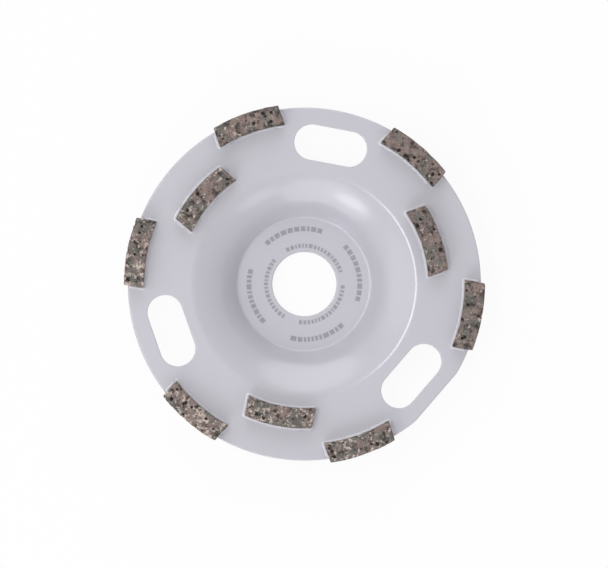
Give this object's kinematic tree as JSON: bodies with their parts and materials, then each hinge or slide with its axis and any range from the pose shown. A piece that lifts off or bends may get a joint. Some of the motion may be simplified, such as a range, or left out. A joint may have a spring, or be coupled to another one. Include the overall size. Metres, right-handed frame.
{
  "type": "diamond cup wheel",
  "caption": "Dished steel cup wheel for an angle grinder, with brazed diamond segments on its flat rim for grinding concrete and stone, and slots that let the dust through.",
  "frame": {"origin": "centre of the hub's back face, on the spindle axis", "axes": "+Z is the spindle axis, out of the grinding side; one slot lies in the direction of +Y"},
  "size_m": [0.125, 0.122, 0.022],
  "materials": {
    "cup_paint": "satin silver-grey paint",
    "diamond_segment": "rough sintered metal bond with diamond grit",
    "braze_bead": "silver solder, painted over with the cup"
  },
  "bodies": {
    "root": {"cup_body": "cup_paint", "outer_segment_1": "diamond_segment", "outer_segment_2": "diamond_segment", "outer_segment_3": "diamond_segment", "outer_segment_4": "diamond_segment", "outer_segment_5": "diamond_segment", "outer_segment_6": "diamond_segment", "inner_segment_1": "diamond_segment", "inner_segment_2": "diamond_segment", "inner_segment_3": "diamond_segment", "outer_braze_1": "braze_bead", "outer_braze_2": "braze_bead", "outer_braze_3": "braze_bead", "outer_braze_4": "braze_bead", "outer_braze_5": "braze_bead", "outer_braze_6": "braze_bead", "inner_braze_1": "braze_bead", "inner_braze_2": "braze_bead", "inner_braze_3": "braze_bead"}
  },
  "joints": []
}
